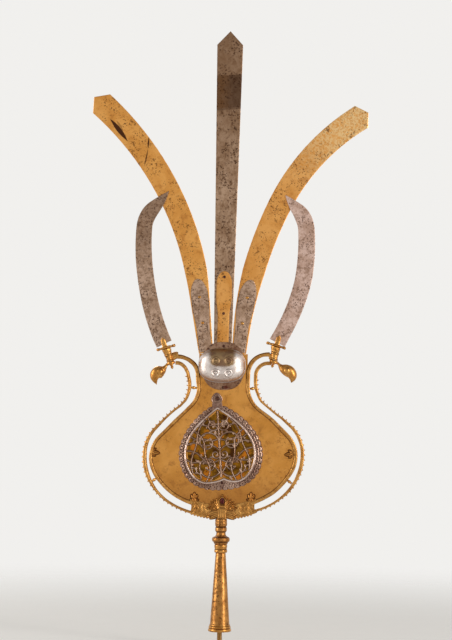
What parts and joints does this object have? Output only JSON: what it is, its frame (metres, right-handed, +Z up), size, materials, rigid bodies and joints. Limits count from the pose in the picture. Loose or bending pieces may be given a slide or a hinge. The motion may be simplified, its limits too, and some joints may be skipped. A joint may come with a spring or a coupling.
{
  "type": "processional standard finial",
  "caption": "Processional standard finial on a rod: tapered socket, pear-shaped gilt shield with toothed crest, pierced steel cartouche, silvered boss, flat blades and small sabres.",
  "frame": {"origin": "middle of the lower end of the mounting rod", "axes": "+Z up along the rod to the blades, the front with its cartouche faces -Y, +X to the viewer's right"},
  "size_m": [0.5516, 0.0636, 1.2335],
  "materials": {
    "gilt_worn": "worn gilding, mottled",
    "wood": "bare turned",
    "gilt_cast": "gilded casting, satin",
    "iron": "forged, dark",
    "garnet": "polished dark red stone",
    "gilt_sheet": "fire-gilded, satin",
    "pierced_steel": "pierced and chased",
    "olive_backing": "dull olive-brown",
    "silvered": "silvered, polished, tarnished",
    "steel": "pitted, satin"
  },
  "bodies": {
    "stand": {"mounting_rod": "gilt_worn", "spigot": "wood"},
    "finial": {"socket": "gilt_worn", "foot_ring": "gilt_cast", "socket_collar": "gilt_cast", "knop": "gilt_cast", "neck_ferrule": "gilt_cast", "base_band": "gilt_cast", "palmette_front": "gilt_cast", "palmette_back": "gilt_cast", "left_rim": "gilt_cast", "left_crest": "gilt_cast", "left_side_clip": "gilt_cast", "left_base_clip": "gilt_cast", "left_hilt": "gilt_cast", "left_pommel": "gilt_cast", "left_langet_rivet_lower": "gilt_cast", "left_langet_rivet_upper": "gilt_cast", "right_rim": "gilt_cast", "right_crest": "gilt_cast", "right_side_clip": "gilt_cast", "right_base_clip": "gilt_cast", "right_hilt": "gilt_cast", "right_pommel": "gilt_cast", "right_langet_rivet_lower": "gilt_cast", "right_langet_rivet_upper": "gilt_cast", "spine": "iron", "left_tang_rivet": "iron", "centre_tang_rivet": "iron", "right_tang_rivet": "iron", "palmette_stone": "garnet", "front_sheet": "gilt_sheet", "back_sheet": "gilt_sheet", "centre_langet_front": "gilt_sheet", "centre_langet_back": "gilt_sheet", "left_blade": "gilt_sheet", "right_blade": "gilt_sheet", "cartouche_border": "pierced_steel", "cartouche_tracery": "pierced_steel", "cartouche_bezel": "pierced_steel", "cartouche_backing": "olive_backing", "boss_front": "silvered", "boss_back": "silvered", "cartouche_loop_rivet": "steel", "cartouche_foot_rivet": "steel", "boss_seat_front": "steel", "boss_seat_back": "steel", "skirt_rivet": "steel", "crown_rivet": "steel", "centre_blade": "steel", "centre_langet_rivet_lower": "steel", "centre_langet_rivet_upper": "steel", "left_langet_front": "steel", "left_langet_back": "steel", "left_sabre": "steel", "right_langet_front": "steel", "right_langet_back": "steel", "right_sabre": "steel"}
  },
  "joints": [
    {"name": "lift_off", "type": "slide", "parent": "stand", "child": "finial", "axis": [0, 0, 1], "range_m": [0, 0.14]}
  ]
}
